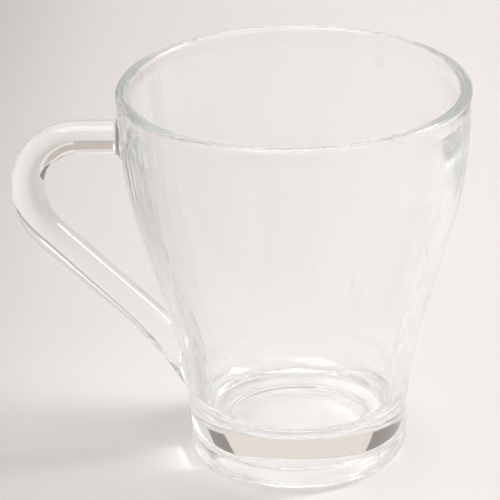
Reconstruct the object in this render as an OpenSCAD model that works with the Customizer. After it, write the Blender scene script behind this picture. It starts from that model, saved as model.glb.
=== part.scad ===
// Clear glass cappuccino cup: a turned bowl on a thick solid foot, with a rod handle fused to its wall.
// Millimetres, +Z up. The origin is on the bowl's axis, on the plane that the foot stands on.
// The handle lies in the XZ plane on the -X side.

/* [Rim] */
// Outer diameter of the rim
rim_d = 84; // [80:0.5:92]
// Height from the table to the top of the rim
cup_h = 95; // [88:0.5:104]
// Thickness of the fire-polished lip, which is rounded over its whole width
lip_t = 2.9; // [2.4:0.1:3.4]
// How far the lip stands out beyond the neck below it
bead = 0.2; // [0:0.05:0.5]
// Height over which the outside swells from the neck to the lip
lip_blend = 3.5; // [2:0.5:6]

/* [Wall] */
// Thickness of the wall, which thins along its upper curve to the lip's thickness
wall_t = 4.1; // [3.5:0.1:4.8]
// Steepest lean of the wall away from upright, in degrees
lean = 15.6; // [13:0.2:18]

/* [Foot] */
// Diameter of the foot at its narrowest
foot_d = 53.2; // [48:0.2:56]
// Height at which the foot starts to open into the wall
foot_h = 4.1; // [3.5:0.1:8]
// Radius of the foot's rounded lower edge
foot_round = 2.6; // [1:0.1:3.2]
// Height of the floor above the table
floor_h = 12; // [9:0.5:16]
// Radius of the hollow between the floor and the inside wall
floor_round = 7.2; // [4:0.2:8]
// Width of the flat ring that the foot stands on
ring_w = 3.5; // [2:0.1:4.5]
// Depth of the hollow under the foot
punt_h = 3.9; // [2:0.1:4.2]
// Width of the curved step between the standing ring and the flat roof of that hollow
punt_w = 4.2; // [4.2:0.1:6]

/* [Handle] */
// Diameter of the handle's rod
rod_d = 8.2; // [6.5:0.1:9.5]
// How far the handle stands out beyond the rim
reach = 26; // [24:0.5:32]
// Height of the rim above the middle of the handle's level bar
bar_drop = 12.7; // [11:0.1:16]
// Radius of the upper bend, along the rod's centre
bend_r = 12.3; // [9:0.1:14]
// Radius of the lower bend, along the rod's centre
belly_r = 18; // [13:0.5:20]
// Radius of the sweep with which the lower leg runs down into the foot, along the rod's centre
toe_r = 79; // [60:1:100]
// Length of the straight leg before that sweep starts
leg = 30; // [26:0.5:32]
// Turn of that sweep, in degrees, most of it hidden in the wall
toe_turn = 22; // [20:0.5:24]
// How much thinner the rod inside the lower weld is, so that it starts out of sight in the leg
heel_in = 0.3; // [0.2:0.05:0.5]
// How much less the rod inside the lower weld falls than the leg, in degrees
heel_lift = 3; // [2:0.5:5]
// Radius of the hot glass drawn out round the upper weld
weld_r = 1.5; // [0.5:0.1:2]

/* [Hidden] */
$fn = 96;
// Steps along each turned curve
steps = 16;
rim_r = rim_d / 2;
foot_r = foot_d / 2;
rod_r = rod_d / 2;
lip_r = lip_t / 2;
neck_r = rim_r - bead;
neck_z = cup_h - lip_r - lip_blend;

// The wall is two equal arcs joined by a straight cone, upright at the foot and at the neck.
rise = neck_z - foot_h;
spread = neck_r - foot_r;
curve_r = (rise * tan(lean) - spread) / (2 * (sin(lean) * tan(lean) + cos(lean) - 1));

// The floor's hollow touches the inside wall, so its centre is found from the wall at that height.
floor_wall_z = floor_h + floor_round;
floor_flat_r = wall_r_at(floor_wall_z, wall_t) - floor_round;

// The step under the foot starts inside the standing ring and is two equal arcs, level at both ends.
punt_r = foot_r - foot_round - ring_w;
step_r = (pow(punt_w, 2) + pow(punt_h, 2)) / (4 * punt_h);
step_a = 2 * atan(punt_h / punt_w);

// Key points of the rod's centre line in the XZ plane.
bar_z = cup_h - bar_drop;
left_x = -(rim_r + reach - rod_r);
bend_c = [left_x + bend_r, bar_z - bend_r];
belly_c = [left_x + belly_r, bend_c[1]];
// The lower leg falls at this angle below level.
fall = 45;
// Length of the rod inside the lower weld, which ends hidden in the wall
heel_l = 20;

// Radius of the wall on its lower arc at height z, set in by t from the outside.
function wall_r_at(z, t) = foot_r + curve_r - sqrt(pow(curve_r + t, 2) - pow(z - foot_h, 2));

// Points of an arc from angle a to angle b about c.
function arc(c, r, a, b, n) =
  [for (i = [0:n]) let (t = a + (b - a) * i / n) c + r * [cos(t), sin(t)]];

// The wall's upper arc, set in from the outside by t at its start and by n at the neck.
function neck_curve(t, n) = [for (i = [0:steps])
  let (a = -lean * (1 - i / steps), r = curve_r - t + (t - n) * pow(i / steps, 3))
  [neck_r - curve_r + r * cos(a), neck_z + r * sin(a)]];

// The wall's curve from height z0 up to the neck, set in from the outside by t and, at the neck, by n.
function wall_curve(t, n, z0) = concat(
  arc([foot_r + curve_r, foot_h], curve_r + t, 180 - asin((z0 - foot_h) / (curve_r + t)), 180 - lean, steps),
  neck_curve(t, n)
);

// The lip's rounding, from the outside over the top to the inside.
function lip_curve() = arc([rim_r - lip_r, cup_h - lip_r], lip_r, 0, 180, steps);

function reversed(p) = [for (i = [len(p) - 1:-1:0]) p[i]];

// Outline under the foot, from the middle of the hollow's roof down its step to the standing ring.
function underside() = concat(
  [[0, punt_h]],
  arc([punt_r - punt_w, punt_h - step_r], step_r, 90, 90 - step_a, steps / 4),
  arc([punt_r, step_r], step_r, 270 - step_a, 270, steps / 4)
);

// Outline of the bowl's outside, from the foot's edge to the start of the lip.
function outside() = concat(
  arc([foot_r - foot_round, foot_round], foot_round, -90, 0, steps / 2),
  wall_curve(0, 0, foot_h)
);

// Outline of the hollow, from the lip down to the middle of the floor.
function inside() = concat(
  reversed(wall_curve(wall_t, lip_t - bead, floor_wall_z)),
  arc([floor_flat_r, floor_wall_z], floor_round, 0, -90, steps / 2),
  [[0, floor_h]]
);

module bowl() {
  color([0.93, 0.95, 0.94, 0.45])
    rotate_extrude() polygon(concat(underside(), outside(), lip_curve(), inside()));
}

// The bowl with no hollow, to which the handle's ends are shaped.
module bowl_block() {
  rotate_extrude() polygon(concat([[0, 0]], outside(), lip_curve(), [[0, cup_h - lip_r]]));
}

// A bend of the rod in the XZ plane about c, from angle a, turning by t.
// The rod's seam is at angle s of its section.
module rod_bend(c, r, a, t, s = 0) {
  translate([c[0], 0, c[1]]) rotate([90, 0, 0]) rotate([0, 0, a])
    rotate_extrude(angle = t) translate([r, 0]) rotate(s) circle(r = rod_r);
}

// The leg's own frame: its origin is the centre of the lower bend and the leg falls along -Z at x = -belly_r.
module leg_frame() {
  translate([belly_c[0], 0, belly_c[1]]) rotate([0, -fall, 0]) children();
}

// The straight lower leg, with the sweep and the inner rod that together form its broad weld on the wall.
module lower_leg() {
  translate([-belly_r, 0, -leg]) rotate([0, 0, 180]) cylinder(r = rod_r, h = leg);
  translate([-belly_r - toe_r, 0, -leg]) mirror([0, 0, 1]) rod_bend([0, 0], toe_r, 0, toe_turn, 180);
  translate([-belly_r, 0, -leg]) rotate([0, 180 - heel_lift, 0]) cylinder(r = rod_r - heel_in, h = heel_l);
}

// The hollow cone of glass drawn out where the level bar meets the wall.
module weld() {
  translate([-neck_r + weld_r / 2, 0, bar_z]) rotate([0, -90, 0]) rotate_extrude() difference() {
    square([rod_r + weld_r, weld_r]);
    translate([rod_r + weld_r, weld_r]) circle(r = weld_r);
  }
}

module handle() {
  color([0.91, 0.94, 0.93, 0.45])
    difference() {
      union() {
        translate([bend_c[0], 0, bar_z]) rotate([0, 90, 0]) cylinder(r = rod_r, h = -bend_c[0] - neck_r + 8);
        rod_bend(bend_c, bend_r, 90, 90);
        rod_bend(belly_c, belly_r, 180, 90 - fall);
        leg_frame() lower_leg();
        weld();
      }
      bowl_block();
    }
}

bowl();
handle();
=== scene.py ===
"""A clear glass cappuccino cup on a pale table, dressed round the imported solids."""

import logging
import math
from dataclasses import dataclass, field
from enum import Enum
from typing import Any, Callable

import bmesh
import bpy
from mathutils import Matrix, Vector


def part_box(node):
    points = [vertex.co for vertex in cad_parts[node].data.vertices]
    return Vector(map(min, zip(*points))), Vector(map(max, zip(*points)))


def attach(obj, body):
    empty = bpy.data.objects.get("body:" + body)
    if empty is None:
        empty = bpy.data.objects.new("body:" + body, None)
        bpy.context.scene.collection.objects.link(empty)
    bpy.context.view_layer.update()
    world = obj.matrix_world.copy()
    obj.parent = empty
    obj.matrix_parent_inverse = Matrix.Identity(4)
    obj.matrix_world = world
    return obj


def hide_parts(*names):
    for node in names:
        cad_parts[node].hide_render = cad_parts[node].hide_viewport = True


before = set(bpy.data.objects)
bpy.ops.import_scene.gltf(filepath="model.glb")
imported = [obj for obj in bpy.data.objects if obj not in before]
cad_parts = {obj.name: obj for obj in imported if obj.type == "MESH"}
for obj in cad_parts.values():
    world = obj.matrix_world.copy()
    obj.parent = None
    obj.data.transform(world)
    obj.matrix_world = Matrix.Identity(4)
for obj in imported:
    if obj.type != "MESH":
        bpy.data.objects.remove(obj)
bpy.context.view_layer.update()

LOG = logging.getLogger("cappuccino_cup")
MM = 0.001
GLASS_BOUNCES = 160
MATT_BOUNCES = 4
SOFT_NOISE = {"Detail": 1.0, "Roughness": 0.4}
Point = tuple[float, float]
Tones = tuple[tuple[float, str], ...]


class Ray(Enum):
    """The rays that a piece of the table shows itself to."""

    ALL = "all"
    NOT_THROUGH_GLASS = "not_through_glass"


def linear(hex_colour: str) -> tuple[float, float, float, float]:
    """Turn an sRGB hex colour into linear RGBA.

    Args:
        hex_colour: six hex digits after a hash sign.

    Returns:
        Linear red, green, blue and an alpha of 1.
    """
    parts = [int(hex_colour[i:i + 2], 16) / 255 for i in (1, 3, 5)]
    red, green, blue = (c / 12.92 if c <= 0.04045 else ((c + 0.055) / 1.055) ** 2.4 for c in parts)
    return red, green, blue, 1.0


def add_node(tree: bpy.types.NodeTree, kind: str, settings: dict[Any, Any] | None = None,
             links: dict[Any, bpy.types.NodeSocket] | None = None) -> bpy.types.Node:
    """Add a shader node, set its values and link its inputs.

    Args:
        tree: the node tree that gets the node.
        kind: the node's class name.
        settings: input names or numbers, or properties, with their values.
        links: input names or numbers with the sockets that feed them.

    Returns:
        The new node.
    """
    node = tree.nodes.new(kind)
    for key, value in (settings or {}).items():
        if isinstance(key, int) or key in node.inputs:
            node.inputs[key].default_value = value
        else:
            setattr(node, key, value)
    for key, socket in (links or {}).items():
        tree.links.new(socket, node.inputs[key])
    return node


def fill_ramp(ramp: bpy.types.ColorRamp, stops: Tones) -> None:
    """Give a colour ramp its stops.

    Args:
        ramp: the ramp, which has two stops to start with.
        stops: each stop's place and sRGB hex colour.
    """
    while len(ramp.elements) < len(stops):
        ramp.elements.new(1.0)
    for element, (place, colour) in zip(ramp.elements, stops):
        element.position = place
        element.color = linear(colour)


def new_material(name: str) -> tuple[bpy.types.Material, bpy.types.NodeTree]:
    """Make an empty node material.

    Args:
        name: the material's name.

    Returns:
        The material and its cleared node tree.
    """
    material = bpy.data.materials.new(name)
    material.use_nodes = True
    material.node_tree.nodes.clear()
    return material, material.node_tree


def mesh_object(name: str, vertices: list[Vector], faces: list[list[int]]) -> bpy.types.Object:
    """Make a smooth-shaded mesh object with outward normals.

    Args:
        name: the object's name.
        vertices: places in metres.
        faces: vertex numbers of each face.

    Returns:
        The object, linked to the scene.
    """
    mesh = bpy.data.meshes.new(name)
    mesh.from_pydata(vertices, [], faces)
    work = bmesh.new()
    work.from_mesh(mesh)
    bmesh.ops.recalc_face_normals(work, faces=work.faces)
    for face in work.faces:
        face.smooth = True
    work.to_mesh(mesh)
    work.free()
    mesh.update()
    thing = bpy.data.objects.new(name, mesh)
    bpy.context.scene.collection.objects.link(thing)
    return thing


def arc(centre: Point, radius: float, start: float, end: float, steps: int) -> list[Point]:
    """Points along an arc.

    Args:
        centre: the arc's centre.
        radius: its radius.
        start: the angle of the first point, in degrees.
        end: the angle of the last point, in degrees.
        steps: how many steps lie between them.

    Returns:
        The points, both ends included.
    """
    angles = [math.radians(start + (end - start) * i / steps) for i in range(steps + 1)]
    return [(centre[0] + radius * math.cos(a), centre[1] + radius * math.sin(a)) for a in angles]


def between(start: Point, end: Point, part: float) -> Point:
    """A point on the straight line from one point to another.

    Args:
        start: the first point.
        end: the last point.
        part: the share of the way, from 0 to 1.

    Returns:
        The point.
    """
    return start[0] + (end[0] - start[0]) * part, start[1] + (end[1] - start[1]) * part


def direction(azimuth: float, elevation: float) -> Vector:
    """The way from the cup to something round it.

    Args:
        azimuth: its angle round the cup from +X, in degrees.
        elevation: its angle above the table, in degrees.

    Returns:
        The way, of length 1.
    """
    turn, rise = math.radians(azimuth), math.radians(elevation)
    level = math.cos(rise)
    return Vector((math.cos(turn) * level, math.sin(turn) * level, math.sin(rise)))


@dataclass(frozen=True)
class DrawnStreaks:
    """Upright streaks in the wall's skin, strongest beside the welds and fading towards the foot.

    The fade goes by the height above the table, and the gain beside the welds by the place along X.
    """

    width_mm: float = 3.0
    height_mm: float = 0.025
    stretch: float = 12.0
    ring_radius_mm: float = 38.0
    fade_from_mm: float = 16.0
    fade_to_mm: float = 36.0
    weld_from_mm: float = -24.0
    weld_to_mm: float = -40.0
    weld_gain: float = 6.0

    def relief(self, tree: bpy.types.NodeTree, place: bpy.types.NodeSocket) -> bpy.types.NodeSocket:
        """Work out the streaks' relief.

        Args:
            tree: the glass's node tree.
            place: the socket with the place on the cup.

        Returns:
            The socket with the relief, as a share of the streaks' height.
        """
        split = add_node(tree, "ShaderNodeSeparateXYZ", None, {0: place})
        level = add_node(tree, "ShaderNodeVectorMath", {"operation": "MULTIPLY", 1: (1.0, 1.0, 0.0)},
                         {0: place})
        unit = add_node(tree, "ShaderNodeVectorMath", {"operation": "NORMALIZE"}, {0: level.outputs[0]})
        ring = add_node(tree, "ShaderNodeVectorMath",
                        {"operation": "SCALE", "Scale": self.ring_radius_mm * MM}, {0: unit.outputs[0]})
        rise = add_node(tree, "ShaderNodeVectorMath",
                        {"operation": "MULTIPLY", 1: (0.0, 0.0, 1 / self.stretch)}, {0: place})
        drawn = add_node(tree, "ShaderNodeVectorMath", {"operation": "ADD"},
                         {0: ring.outputs[0], 1: rise.outputs[0]})
        streak = add_node(tree, "ShaderNodeTexNoise",
                          {"Scale": 1 / (self.width_mm * MM), **SOFT_NOISE},
                          {"Vector": drawn.outputs[0]})
        fade = add_node(tree, "ShaderNodeMapRange",
                        {"From Min": self.fade_from_mm * MM, "From Max": self.fade_to_mm * MM},
                        {"Value": split.outputs["Z"]})
        side = add_node(tree, "ShaderNodeMapRange",
                        {"From Min": self.weld_from_mm * MM, "From Max": self.weld_to_mm * MM,
                         "To Min": 1.0, "To Max": self.weld_gain}, {"Value": split.outputs["X"]})
        strength = add_node(tree, "ShaderNodeMath", {"operation": "MULTIPLY"},
                            {0: fade.outputs[0], 1: side.outputs[0]})
        relief = add_node(tree, "ShaderNodeMath", {"operation": "MULTIPLY"},
                          {0: streak.outputs["Fac"], 1: strength.outputs[0]})
        return relief.outputs[0]


@dataclass(frozen=True)
class PressedGlass:
    """Clear soda-lime glass, pressed in a mould and fire-polished.

    To the eye it is colourless in the thin wall and faintly grey-green where light runs a long way
    through it, in the lip and the foot. Its polished skin has a very slight ripple all over, and
    upright streaks in the wall, which show most at its sides.
    """

    name: str = "pressed_soda_lime_glass"
    ior: float = 1.52
    roughness: float = 0.0
    depth_colour: str = "#c3d3cc"
    depth_per_metre: float = 1.2
    ripple_mm: float = 14.0
    ripple_height_mm: float = 0.012
    streaks: DrawnStreaks = DrawnStreaks()

    def build(self) -> bpy.types.Material:
        """Make the glass, with its rippled and streaked skin and its depth of colour.

        Returns:
            The glass material.
        """
        material, tree = new_material(self.name)
        place = add_node(tree, "ShaderNodeTexCoord").outputs["Object"]
        ripple = add_node(tree, "ShaderNodeTexNoise", {"Scale": 1 / (self.ripple_mm * MM), **SOFT_NOISE},
                          {"Vector": place})
        skin = add_node(tree, "ShaderNodeBump",
                        {"Strength": 1.0, "Distance": self.ripple_height_mm * MM},
                        {"Height": ripple.outputs["Fac"]})
        drawn = add_node(tree, "ShaderNodeBump",
                         {"Strength": 1.0, "Distance": self.streaks.height_mm * MM},
                         {"Height": self.streaks.relief(tree, place), "Normal": skin.outputs["Normal"]})
        glass = add_node(tree, "ShaderNodeBsdfPrincipled",
                         {"Base Color": (1.0, 1.0, 1.0, 1.0), "Transmission Weight": 1.0,
                          "IOR": self.ior, "Roughness": self.roughness},
                         {"Normal": drawn.outputs["Normal"]})
        depth = add_node(tree, "ShaderNodeVolumeAbsorption",
                         {"Color": linear(self.depth_colour), "Density": self.depth_per_metre})
        add_node(tree, "ShaderNodeOutputMaterial", None,
                 {"Surface": glass.outputs[0], "Volume": depth.outputs[0]})
        return material


@dataclass(frozen=True)
class MattPaperWithPaintedShade:
    """Matt warm-white background paper, darker to the left of the cup: painted shade in its own colour,
    on top of the real shadow that the lamps cast there.

    Its tones go by the place along X, in millimetres.
    """

    name: str = "matt_paper_with_painted_shade"
    # Painted shade: the darker tones to the left of the cup stand in for shade there, and the lamps cast
    # the rest of the shadow.
    tones: Tones = (
        (-400.0, "#dcd8d5"), (-110.0, "#c1bdba"), (-87.0, "#cdc8c5"), (-70.0, "#d4d0ce"),
        (-50.0, "#d8d4d2"), (0.0, "#dcd8d6"), (30.0, "#ddd9d8"), (70.0, "#dbd7d6"))

    def build(self) -> bpy.types.Material:
        """Make the paper, with its tones.

        Returns:
            The paper material.
        """
        material, tree = new_material(self.name)
        place = add_node(tree, "ShaderNodeNewGeometry")
        split = add_node(tree, "ShaderNodeSeparateXYZ", None, {0: place.outputs["Position"]})
        left, right = self.tones[0][0], self.tones[-1][0]
        across = add_node(tree, "ShaderNodeMapRange", {"From Min": left * MM, "From Max": right * MM},
                          {"Value": split.outputs["X"]})
        ramp = add_node(tree, "ShaderNodeValToRGB", None, {"Fac": across.outputs[0]})
        fill_ramp(ramp.color_ramp,
                  tuple(((x - left) / (right - left), tone) for x, tone in self.tones))
        paper = add_node(tree, "ShaderNodeBsdfDiffuse", None, {"Color": ramp.outputs["Color"]})
        add_node(tree, "ShaderNodeOutputMaterial", None, {"Surface": paper.outputs[0]})
        return material


@dataclass
class Bowl:
    """The turned bowl with its rounded lip, curved wall and thick foot. Sizes are in millimetres."""

    height: float
    rim_radius: float = 42.0
    lip: float = 2.9
    bead: float = 0.2
    lip_rise: float = 3.5
    wall: float = 4.1
    lean: float = 15.6
    foot_radius: float = 26.6
    foot_height: float = 4.1
    foot_round: float = 2.6
    floor_height: float = 12.0
    floor_round: float = 7.2
    ring: float = 3.5
    punt: float = 3.9
    punt_step: float = 4.2
    around: int = 256
    wall_steps: int = 48
    cone_steps: int = 8
    blend_steps: int = 14
    lip_steps: int = 36
    foot_steps: int = 14
    roof_steps: int = 12
    punt_steps: int = 8
    hollow_steps: int = 20
    floor_steps: int = 8
    curve: float = field(init=False)
    neck: Point = field(init=False)

    def __post_init__(self) -> None:
        """Work out the wall's two equal arcs, upright at the foot and at the neck."""
        self.neck = (self.rim_radius - self.bead, self.height - self.lip / 2 - self.lip_rise)
        rise, spread = self.neck[1] - self.foot_height, self.neck[0] - self.foot_radius
        tilt = math.radians(self.lean)
        bulge = 2 * (math.sin(tilt) * math.tan(tilt) + math.cos(tilt) - 1)
        self.curve = (rise * math.tan(tilt) - spread) / bulge

    def wall_radius(self, z: float) -> float:
        """Radius of the outside of the wall at a height.

        Args:
            z: the height above the table.

        Returns:
            The radius there.
        """
        tilt = math.radians(self.lean)
        turn = self.curve * math.sin(tilt)
        low, high = self.foot_height + turn, self.neck[1] - turn
        if z <= self.foot_height:
            return self.foot_radius
        if z > high:
            drop = max(self.neck[1] - z, 0.0)
            return self.neck[0] - self.curve + math.sqrt(self.curve ** 2 - drop ** 2)
        rise = min(z, low) - self.foot_height
        on_arc = self.foot_radius + self.curve - math.sqrt(self.curve ** 2 - rise ** 2)
        return on_arc + max(z - low, 0.0) * math.tan(tilt)

    def wall_curve(self, inset: float, start: float) -> list[Point]:
        """The wall's outline from a height up to the neck.

        Args:
            inset: how far inside the outer face it runs.
            start: the height at which it starts.

        Returns:
            The points from low to high.
        """
        low_radius = self.curve + inset
        first = 180 - math.degrees(math.asin((start - self.foot_height) / low_radius))
        low_centre = (self.foot_radius + self.curve, self.foot_height)
        low = arc(low_centre, low_radius, first, 180 - self.lean, self.wall_steps)
        high = self.neck_curve(inset)
        cone = [between(low[-1], high[0], i / self.cone_steps) for i in range(1, self.cone_steps)]
        return low + cone + high

    def neck_curve(self, inset: float) -> list[Point]:
        """The wall's upper arc, on whose inside the wall thins towards the lip.

        Args:
            inset: how far inside the outer face it starts.

        Returns:
            The points from low to high.
        """
        thinner = self.wall - self.lip + self.bead if inset else 0.0
        points = []
        for i in range(self.wall_steps + 1):
            part = i / self.wall_steps
            turn = math.radians(-self.lean * (1 - part))
            radius = self.curve - inset + thinner * part ** 3
            points.append((self.neck[0] - self.curve + radius * math.cos(turn),
                           self.neck[1] + radius * math.sin(turn)))
        return points

    def blend(self, below: Point, above: Point) -> list[Point]:
        """Points of a soft S between two upright stretches of the wall.

        Args:
            below: the end of the lower stretch.
            above: the start of the upper stretch.

        Returns:
            The points between them, ends left out.
        """
        points = []
        for i in range(1, self.blend_steps):
            part = i / self.blend_steps
            ease = (1 - math.cos(math.pi * part)) / 2
            points.append((between(below, above, ease)[0], between(below, above, part)[1]))
        return points

    def underside(self) -> list[Point]:
        """The section under the foot.

        Returns:
            The points from the axis out to the standing ring.
        """
        ring_inner = self.foot_radius - self.foot_round - self.ring
        roof = ring_inner - self.punt_step
        bend = (self.punt_step ** 2 + self.punt ** 2) / (4 * self.punt)
        turn = 2 * math.degrees(math.atan(self.punt / self.punt_step))
        level = [(roof * i / self.roof_steps, self.punt) for i in range(self.roof_steps)]
        upper = arc((roof, self.punt - bend), bend, 90, 90 - turn, self.punt_steps)
        lower = arc((ring_inner, bend), bend, 270 - turn, 270, self.punt_steps)
        return level + upper + lower[1:]

    def outline(self) -> list[Point]:
        """The bowl's whole section.

        Returns:
            The points from the axis under the foot, over the lip, to the axis on the floor.
        """
        foot_centre = (self.foot_radius - self.foot_round, self.foot_round)
        foot = arc(foot_centre, self.foot_round, -90, 0, self.foot_steps)
        outside = self.wall_curve(0.0, self.foot_height)
        lip_centre = (self.rim_radius - self.lip / 2, self.height - self.lip / 2)
        lip = arc(lip_centre, self.lip / 2, 0, 180, self.lip_steps)
        hollow_top = self.floor_height + self.floor_round
        inside = self.wall_curve(self.wall, hollow_top)[::-1]
        flat = inside[-1][0] - self.floor_round
        hollow = arc((flat, hollow_top), self.floor_round, 0, -90, self.hollow_steps)
        level = [(flat * (1 - i / self.floor_steps), self.floor_height)
                 for i in range(1, self.floor_steps + 1)]
        rise = self.blend(outside[-1], lip[0])
        fall = self.blend(inside[0], lip[-1])[::-1]
        return (self.underside() + foot + outside[1:] + rise + lip + fall + inside + hollow[1:]
                + level)

    def build(self) -> bpy.types.Object:
        """Turn the outline about the axis.

        Returns:
            The bowl's mesh object.
        """
        section = self.outline()
        vertices = [Vector((0.0, 0.0, z * MM)) for z in (section[0][1], section[-1][1])]
        rows = section[1:-1]
        turns = [2 * math.pi * i / self.around for i in range(self.around)]
        for radius, z in rows:
            reach = radius * MM
            vertices += [Vector((reach * math.cos(t), reach * math.sin(t), z * MM)) for t in turns]
        first = [2 + k * self.around for k in range(len(rows))]
        faces: list[list[int]] = []
        for i in range(self.around):
            j = (i + 1) % self.around
            faces.append([0, first[0] + j, first[0] + i])
            faces.append([1, first[-1] + i, first[-1] + j])
            faces += [[a + i, a + j, b + j, b + i] for a, b in zip(first, first[1:])]
        return mesh_object("glass_bowl", vertices, faces)

    def dress(self, bowl: bpy.types.Object, glass: bpy.types.Material) -> None:
        """Give the bowl its glass and put it in the solid's place.

        Args:
            bowl: the bowl's mesh object.
            glass: its material.
        """
        bowl.data.materials.append(glass)
        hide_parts("bowl")
        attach(bowl, "root")


@dataclass
class Handle:
    """The looped rod handle, drawn out where it is fused to the wall. Sizes are in millimetres.

    Its rings are oval sections, each given by its edge towards the finger gap, its edge away from
    the gap and half its size across the handle's plane.
    """

    bowl: Bowl
    rod: float = 8.2
    reach: float = 26.0
    bar_drop: float = 12.7
    bend: float = 12.3
    belly: float = 18.0
    fall: float = 45.0
    toe: float = 79.0
    leg: float = 30.0
    weld: float = 1.5
    weld_depth: float = 0.1
    toe_width: float = 5.2
    sink: float = 0.06
    longest_toe: float = 40.0
    around: int = 72
    weld_steps: int = 10
    bar_steps: int = 12
    bend_steps: int = 40
    belly_steps: int = 28
    leg_steps: int = 16
    toe_steps: int = 26
    search_steps: int = 50
    end_sizes: tuple[float, ...] = (0.85, 0.7, 0.55, 0.4, 0.25, 0.1)
    rings: list[tuple[Point, Point, float]] = field(init=False, default_factory=list)

    def wall_x(self, y: float, z: float) -> float:
        """Where the rod's end lies inside the wall, at a place on the wall.

        Args:
            y: the distance from the handle's plane.
            z: the height.

        Returns:
            The x of the end, a hair's breadth inside the glass of the wall.
        """
        return -math.sqrt(self.bowl.wall_radius(z) ** 2 - y ** 2) + self.sink

    def add_bend(self, centre: Point, radius: float, start: float, end: float, steps: int) -> None:
        """Lay out the sections of a bend.

        Args:
            centre: the bend's centre.
            radius: its radius, along the rod's centre.
            start: the angle of its first section, in degrees.
            end: the angle of its last section, in degrees.
            steps: how many steps lie between them.
        """
        half = self.rod / 2
        inner = arc(centre, radius - half, start, end, steps)
        outer = arc(centre, radius + half, start, end, steps)
        self.rings += [(a, b, half) for a, b in zip(inner, outer)]

    def sweep(self) -> None:
        """Lay out the rod's sections from the upper weld round the loop to the lower weld."""
        half = self.rod / 2
        bar_z = self.bowl.height - self.bar_drop
        left = -(self.bowl.rim_radius + self.reach - half)
        bend_centre = (left + self.bend, bar_z - self.bend)
        belly_centre = (left + self.belly, bend_centre[1])
        self.upper_weld(bar_z)
        start = self.rings[-1][0][0]
        for i in range(1, self.bar_steps):
            x = start + (bend_centre[0] - start) * i / self.bar_steps
            self.rings.append(((x, bar_z - half), (x, bar_z + half), half))
        self.add_bend(bend_centre, self.bend, 90, 180, self.bend_steps)
        # The two bends share the section where they meet.
        self.rings.pop()
        self.add_bend(belly_centre, self.belly, 180, 270 - self.fall, self.belly_steps)
        self.lower_leg()

    def upper_weld(self, bar_z: float) -> None:
        """Lay out the hollow cone of glass drawn out where the level bar meets the wall.

        Args:
            bar_z: the height of the bar's centre.
        """
        half = self.rod / 2
        wall = -self.bowl.wall_radius(bar_z)
        for i in range(self.weld_steps + 1):
            away = self.weld * (i / self.weld_steps) ** 2
            grow = self.weld - math.sqrt(max(self.weld ** 2 - (self.weld - away) ** 2, 0.0))
            x, size = wall + self.weld_depth - away, half + grow
            self.rings.append(((x, bar_z - size), (x, bar_z + size), size))

    def lower_leg(self) -> None:
        """Lay out the straight leg and its broad weld, which runs down the wall."""
        half = self.rod / 2
        tilt = math.radians(self.fall)
        along, side = Vector((math.cos(tilt), -math.sin(tilt))), Vector((math.sin(tilt), math.cos(tilt)))
        inner, outer = (Vector(p) for p in self.rings[-1][:2])
        for i in range(1, self.leg_steps + 1):
            step = along * (self.leg * i / self.leg_steps)
            self.rings.append((tuple(inner + step), tuple(outer + step), half))
        inner, outer = (Vector(p) for p in self.rings[-1][:2])
        edge_radius = self.toe - half
        centre = outer - side * edge_radius

        def outer_edge(run: float) -> Vector:
            """The outer edge's place after a run along the sweep."""
            swing = tilt + run / self.toe
            return centre + Vector((math.sin(swing), math.cos(swing))) * edge_radius

        inner_run = self.run_to_wall(lambda run: inner + along * run)
        outer_run = self.run_to_wall(outer_edge)
        for i in range(1, self.toe_steps + 1):
            part = i / self.toe_steps
            ease = part * part * (3 - 2 * part)
            width = half + (self.toe_width - half) * ease
            self.rings.append((tuple(inner + along * (inner_run * part)),
                               tuple(outer_edge(outer_run * part)), width))

    def run_to_wall(self, path: Callable[[float], Vector]) -> float:
        """Find how far a path runs before it reaches the wall.

        Args:
            path: gives a place in the handle's plane for a distance run.

        Returns:
            The distance at which the path is just inside the wall.
        """
        low, high = 0.0, self.longest_toe
        for _ in range(self.search_steps):
            middle = (low + high) / 2
            x, z = path(middle)
            low, high = (middle, high) if x < self.wall_x(0.0, z) else (low, middle)
        return high

    def ring_points(self, number: int, size: float = 1.0) -> list[Vector]:
        """Places round one oval section.

        Args:
            number: the section's number, from the upper weld.
            size: its size against the full section.

        Returns:
            The places in metres. Those of an end section lie on the wall.
        """
        inner, outer, width = self.rings[number]
        middle = Vector(inner).lerp(Vector(outer), 0.5)
        edge = (Vector(outer) - Vector(inner)) / 2 * size
        is_end = number in (0, len(self.rings) - 1)
        places = []
        for i in range(self.around):
            turn = 2 * math.pi * i / self.around
            x, z = middle + edge * math.cos(turn)
            y = width * size * math.sin(turn)
            limit = self.wall_x(y, z)
            if is_end or x > limit:
                x = limit
            places.append(Vector((x, y, z)) * MM)
        return places

    def build(self) -> bpy.types.Object:
        """Skin the rod's sections and close both ends on the wall.

        Returns:
            The handle's mesh object.
        """
        self.sweep()
        last = len(self.rings) - 1
        loops = [self.ring_points(0, size) for size in reversed(self.end_sizes)]
        loops += [self.ring_points(number) for number in range(last + 1)]
        loops += [self.ring_points(last, size) for size in self.end_sizes]
        vertices = [place for loop in loops for place in loop]
        n = self.around
        faces = [[a * n + i, a * n + (i + 1) % n, (a + 1) * n + (i + 1) % n, (a + 1) * n + i]
                 for a in range(len(loops) - 1) for i in range(n)]
        faces.append(list(range(n))[::-1])
        faces.append([(len(loops) - 1) * n + i for i in range(n)])
        return mesh_object("glass_handle", vertices, faces)

    def dress(self, handle: bpy.types.Object, glass: bpy.types.Material) -> None:
        """Give the handle its glass and put it in the solid's place.

        Args:
            handle: the handle's mesh object.
            glass: its material.
        """
        handle.data.materials.append(glass)
        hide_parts("handle")
        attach(handle, "root")


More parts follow.
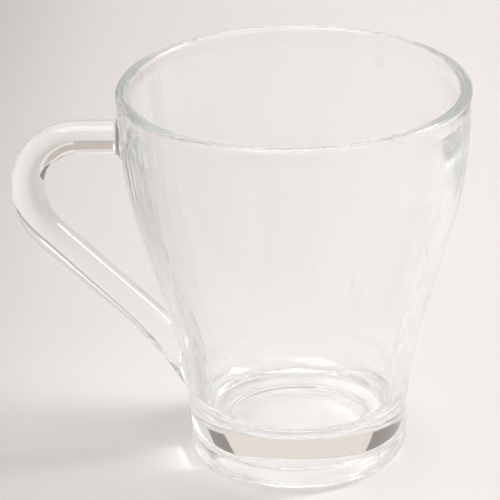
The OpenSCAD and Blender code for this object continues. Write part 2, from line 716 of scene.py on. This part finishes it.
@dataclass(frozen=True)
class Softbox:
    """A softbox that faces the cup. Lengths are in metres and angles in degrees.

    Its radiance lights the set. Its plain mirror image in the glass has the strength of glint, and
    an image that the glass throws back more than once has the strength of in_glass.
    """

    name: str
    azimuth: float
    elevation: float
    distance: float
    width: float
    height: float
    radiance: float
    in_glass: float
    glint: float

    def cloth(self) -> bpy.types.Material:
        """Make the glowing cloth, with its own strength for each kind of image in the glass.

        Returns:
            The cloth's material.
        """
        material, tree = new_material(self.name)
        path = add_node(tree, "ShaderNodeLightPath")
        # No matt surface lies between the cloth's image and the eye.
        to_eye = add_node(tree, "ShaderNodeMath", {"operation": "LESS_THAN", 1: 0.5},
                          {0: path.outputs["Diffuse Depth"]})
        by_glass = add_node(tree, "ShaderNodeMath", {"operation": "MULTIPLY"},
                            {0: path.outputs["Is Glossy Ray"], 1: to_eye.outputs[0]})
        # A plain mirror image is thrown back once.
        once = add_node(tree, "ShaderNodeMath", {"operation": "COMPARE", 1: 1.0, 2: 0.5},
                        {0: path.outputs["Glossy Depth"]})
        image = add_node(tree, "ShaderNodeMapRange", {"To Min": self.in_glass, "To Max": self.glint},
                         {"Value": once.outputs[0]})
        glow = add_node(tree, "ShaderNodeMapRange", {"To Min": self.radiance},
                        {"Value": by_glass.outputs[0], "To Max": image.outputs[0]})
        shine = add_node(tree, "ShaderNodeEmission", None, {"Strength": glow.outputs[0]})
        add_node(tree, "ShaderNodeOutputMaterial", None, {"Surface": shine.outputs[0]})
        return material

    def build(self) -> None:
        """Hang the softbox, turn it towards the cup and keep it out of the camera's sight."""
        turn = math.radians(self.azimuth)
        aim = direction(self.azimuth, self.elevation)
        wide = Vector((-math.sin(turn), math.cos(turn), 0.0)) * (self.width / 2)
        tall = aim.cross(wide).normalized() * (self.height / 2)
        corners = [aim * self.distance + wide * i + tall * j
                   for i, j in ((-1, -1), (1, -1), (1, 1), (-1, 1))]
        box = mesh_object(self.name, corners, [[0, 1, 2, 3]])
        box.data.materials.append(self.cloth())
        box.visible_camera = box.visible_shadow = False


@dataclass(frozen=True)
class Card:
    """A plain card bent round the cup, which shows only in its glass.

    The distance is in metres. Angles are in degrees, seen from the cup, and the slant is how far
    the card's top is turned round the cup from its foot.
    """

    name: str
    azimuths: tuple[float, float]
    elevations: tuple[float, float]
    colour: str
    distance: float = 1.4
    slant: float = 0.0
    glow: float = 1.0
    steps: int = 12

    def paint(self) -> bpy.types.Material:
        """Make the card's even, matt colour, which the glass repeats as a clean-edged band.

        Returns:
            The card's material.
        """
        material, tree = new_material(self.name)
        shine = add_node(tree, "ShaderNodeEmission",
                         {"Color": linear(self.colour), "Strength": self.glow})
        add_node(tree, "ShaderNodeOutputMaterial", None, {"Surface": shine.outputs[0]})
        return material

    def build(self) -> None:
        """Stand the card up and keep it out of the camera's sight and the lamps' way."""
        spread, rise = (end - start for start, end in (self.azimuths, self.elevations))
        vertices = []
        for i in range(self.steps + 1):
            up = i / self.steps
            elevation = self.elevations[0] + rise * up
            for j in range(self.steps + 1):
                azimuth = self.azimuths[0] + spread * j / self.steps + self.slant * up
                vertices.append(direction(azimuth, elevation) * self.distance)
        row = self.steps + 1
        faces = [[i * row + j, i * row + j + 1, (i + 1) * row + j + 1, (i + 1) * row + j]
                 for i in range(self.steps) for j in range(self.steps)]
        card = mesh_object(self.name, vertices, faces)
        card.data.materials.append(self.paint())
        card.visible_camera = card.visible_diffuse = card.visible_shadow = False


@dataclass(frozen=True)
class Tent:
    """The white cloth hung round the set, which shows only in the glass. Its radius is in metres.

    Its tones go by the angle above the table, in degrees.
    """

    name: str = "white_tent"
    tones: Tones = (
        (-20.0, "#e2dfdd"), (1.0, "#e4e1df"), (11.0, "#d7d4d2"), (25.0, "#dbd9d7"),
        (33.0, "#e5e3e1"), (42.0, "#eeeceb"), (58.0, "#eae9e8"), (80.0, "#edecec"))
    radius: float = 2.0
    around: int = 64
    up: int = 32

    def cloth(self) -> bpy.types.Material:
        """Make the cloth, pale all over and greyest just above the table.

        Returns:
            The cloth's material.
        """
        material, tree = new_material("white_tent_cloth")
        place = add_node(tree, "ShaderNodeNewGeometry")
        split = add_node(tree, "ShaderNodeSeparateXYZ", None, {0: place.outputs["Position"]})
        low = math.sin(math.radians(self.tones[0][0]))
        height = add_node(tree, "ShaderNodeMapRange",
                          {"From Min": low * self.radius, "From Max": self.radius},
                          {"Value": split.outputs["Z"]})
        tone = add_node(tree, "ShaderNodeValToRGB", None, {"Fac": height.outputs[0]})
        fill_ramp(tone.color_ramp, tuple(((math.sin(math.radians(rise)) - low) / (1 - low), colour)
                                         for rise, colour in self.tones))
        shine = add_node(tree, "ShaderNodeEmission", None, {"Color": tone.outputs["Color"]})
        add_node(tree, "ShaderNodeOutputMaterial", None, {"Surface": shine.outputs[0]})
        return material

    def build(self) -> None:
        """Hang the tent and keep it out of the camera's sight and off the table's light."""
        low = self.tones[0][0]
        n = self.around
        vertices = [Vector((0.0, 0.0, self.radius))]
        for i in range(self.up):
            rise = low + (90.0 - low) * i / self.up
            vertices += [direction(360 * j / n, rise) * self.radius for j in range(n)]
        first = [1 + i * n for i in range(self.up)]
        faces = [[a + j, a + (j + 1) % n, b + (j + 1) % n, b + j]
                 for a, b in zip(first, first[1:]) for j in range(n)]
        faces += [[0, first[-1] + j, first[-1] + (j + 1) % n] for j in range(n)]
        tent = mesh_object(self.name, vertices, faces)
        tent.data.materials.append(self.cloth())
        tent.visible_camera = tent.visible_diffuse = tent.visible_shadow = False


@dataclass
class Studio:
    """The table, the room round it, the softboxes, and the tent and cards that the glass mirrors.

    Lengths are in metres.
    """

    tent: Tent = Tent()
    room: str = "#cfccca"
    backdrop: str = "#ece8e5"
    table_radius: float = 0.42
    surround_radius: float = 6.0
    table_sides: int = 96
    hair: float = 0.0002
    lamps: tuple[Softbox, ...] = (
        Softbox("overhead_softbox", -150.0, 74.0, 1.1, 0.55, 0.55,
                radiance=3.8, in_glass=0.9, glint=4.0),
        Softbox("strip_softbox", 15.0, 38.0, 1.0, 0.28, 0.4,
                radiance=17.0, in_glass=1.7, glint=9.0),
        Softbox("front_softbox", -42.0, 54.0, 1.1, 0.5, 0.5,
                radiance=1.0, in_glass=1.4, glint=2.0),
    )
    cards: tuple[Card, ...] = (
        Card("beige_panel", (50.0, 130.0), (25.5, 34.0), "#e6dcd2", 1.45),
        Card("dark_panel_right", (40.0, 55.0), (26.5, 33.0), "#877f7a", slant=7.0),
        Card("dark_panel_left", (125.0, 160.0), (26.5, 36.0), "#8b827d", slant=-8.0),
        Card("grey_panel", (102.0, 142.0), (36.0, 46.0), "#cdc9c5"),
        Card("white_panel", (70.0, 98.0), (36.0, 50.0), "#fffefd"),
        Card("white_screen", (71.0, 86.0), (0.0, 17.0), "#ffffff", glow=1.2),
        Card("ceiling_panel", (-30.0, 120.0), (76.0, 89.0), "#ffffff", glow=1.15),
        Card("brown_board", (88.0, 124.0), (-2.0, 16.0), "#c4b7aa"),
        Card("dark_board", (127.0, 156.0), (-12.0, 6.0), "#7c756c"),
        Card("grey_edge", (54.0, 98.0), (-14.0, -1.5), "#bfbab4"),
        Card("grey_board", (27.0, 62.0), (0.0, 14.0), "#d2cec9", 0.32),
        Card("dark_ledge", (25.0, 64.0), (0.0, 5.0), "#a19a94", 0.31),
        Card("dark_corner", (130.0, 143.0), (4.0, 12.0), "#7c7068"),
        Card("pale_gap", (100.0, 136.0), (17.0, 26.0), "#f2efec"),
        Card("back_edge", (62.0, 104.0), (0.0, 2.5), "#b5afa9", 0.36),
        Card("right_reflector", (-25.0, 40.0), (0.0, 14.0), "#ffffff", 0.15),
        Card("grey_wall", (218.0, 248.0), (23.0, 35.0), "#c2beba"),
        Card("camera_side", (248.0, 305.0), (4.0, 17.0), "#c6c2bf"),
        Card("front_board", (240.0, 300.0), (0.0, 12.0), "#d8d4d1", 0.15),
        Card("overhead_cloth", (205.0, 310.0), (61.0, 88.0), "#ffffff", glow=2.2),
        Card("dark_ceiling", (145.0, 215.0), (80.0, 89.0), "#bab8b6"),
    )

    def build(self) -> None:
        """Set up the room, the table, the tent, the lamps and the cards."""
        self.light_room()
        self.lay_table()
        self.tent.build()
        for thing in self.lamps + self.cards:
            thing.build()

    def light_room(self) -> None:
        """Fill the surroundings with one plain light, and with the backdrop's colour for the camera."""
        world = bpy.data.worlds.new("pale_room")
        bpy.context.scene.world = world
        world.use_nodes = True
        tree = world.node_tree
        tree.nodes.clear()
        room = add_node(tree, "ShaderNodeBackground", {"Color": linear(self.room)})
        plain = add_node(tree, "ShaderNodeBackground", {"Color": linear(self.backdrop)})
        path = add_node(tree, "ShaderNodeLightPath")
        seen = add_node(tree, "ShaderNodeMixShader", None,
                        {0: path.outputs["Is Camera Ray"], 1: room.outputs[0], 2: plain.outputs[0]})
        add_node(tree, "ShaderNodeOutputWorld", None, {"Surface": seen.outputs[0]})

    def lay_table(self) -> None:
        """Lay the paper a hair below the foot, so that light gets in between, and more of it round that.

        The outer paper shows to the camera, and not in the glass.
        """
        # The paper carries painted shade to the left of the cup.
        paper = MattPaperWithPaintedShade().build()
        n = self.table_sides
        turns = [2 * math.pi * i / n for i in range(n)]
        inner, outer = ([Vector((r * math.cos(t), r * math.sin(t), -self.hair)) for t in turns]
                        for r in (self.table_radius, self.surround_radius))
        table = mesh_object("table", inner, [list(range(n))])
        band = [[i, (i + 1) % n, n + (i + 1) % n, n + i] for i in range(n)]
        surround = mesh_object("table_surround", inner + outer, band)
        for piece, shown in ((table, Ray.ALL), (surround, Ray.NOT_THROUGH_GLASS)):
            piece.data.materials.append(paper)
            piece.visible_transmission = piece.visible_glossy = shown is Ray.ALL


@dataclass(frozen=True)
class PhotoCamera:
    """The camera, set to the photograph's own view. Lengths are in millimetres and angles in degrees."""

    name: str = "photo_camera"
    away: float = 600.0
    height: float = 322.2
    pitch: float = 24.216
    yaw: float = -1.062
    roll: float = -1.302
    focal_pixels: float = 2725.4
    picture_pixels: float = 500.0
    sensor: float = 36.0
    sight: float = 50000.0

    def build(self) -> None:
        """Place the camera and make it the scene's own."""
        pitch, yaw, roll = (math.radians(a) for a in (self.pitch, self.yaw, self.roll))
        ahead = Vector((math.sin(yaw) * math.cos(pitch), math.cos(yaw) * math.cos(pitch),
                        -math.sin(pitch)))
        level = Vector((math.cos(yaw), -math.sin(yaw), 0.0))
        steep = level.cross(ahead)
        right = level * math.cos(roll) + steep * math.sin(roll)
        up = steep * math.cos(roll) - level * math.sin(roll)
        lens = bpy.data.cameras.new(self.name)
        lens.sensor_width = self.sensor
        lens.lens = self.focal_pixels * self.sensor / self.picture_pixels
        lens.clip_end = self.sight * MM
        camera = bpy.data.objects.new(self.name, lens)
        turn = Matrix((right, up, -ahead)).transposed().to_4x4()
        place = Vector((0.0, -self.away, self.height)) * MM
        camera.matrix_world = Matrix.Translation(place) @ turn
        bpy.context.scene.collection.objects.link(camera)
        bpy.context.scene.camera = camera


def set_light_paths() -> None:
    """Let light run far enough through the glass, and show colours as they are written."""
    scene = bpy.context.scene
    scene.view_settings.view_transform = "Standard"
    scene.cycles.max_bounces = GLASS_BOUNCES
    scene.cycles.transmission_bounces = GLASS_BOUNCES
    scene.cycles.glossy_bounces = GLASS_BOUNCES
    scene.cycles.diffuse_bounces = MATT_BOUNCES
    scene.cycles.blur_glossy = 0.0


def main() -> None:
    """Build the camera, the cup's pieces and the studio, and report each piece."""
    logging.basicConfig(level=logging.INFO, format="%(name)s: %(message)s")
    set_light_paths()
    PhotoCamera().build()
    glass = PressedGlass().build()
    low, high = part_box("bowl")
    bowl = Bowl(height=(high[2] - low[2]) / MM)
    handle = Handle(bowl)
    for part in (bowl, handle):
        piece = part.build()
        part.dress(piece, glass)
        LOG.info("%s: %d faces", piece.name, len(piece.data.polygons))
    Studio().build()


if __name__ == "__main__":
    main()
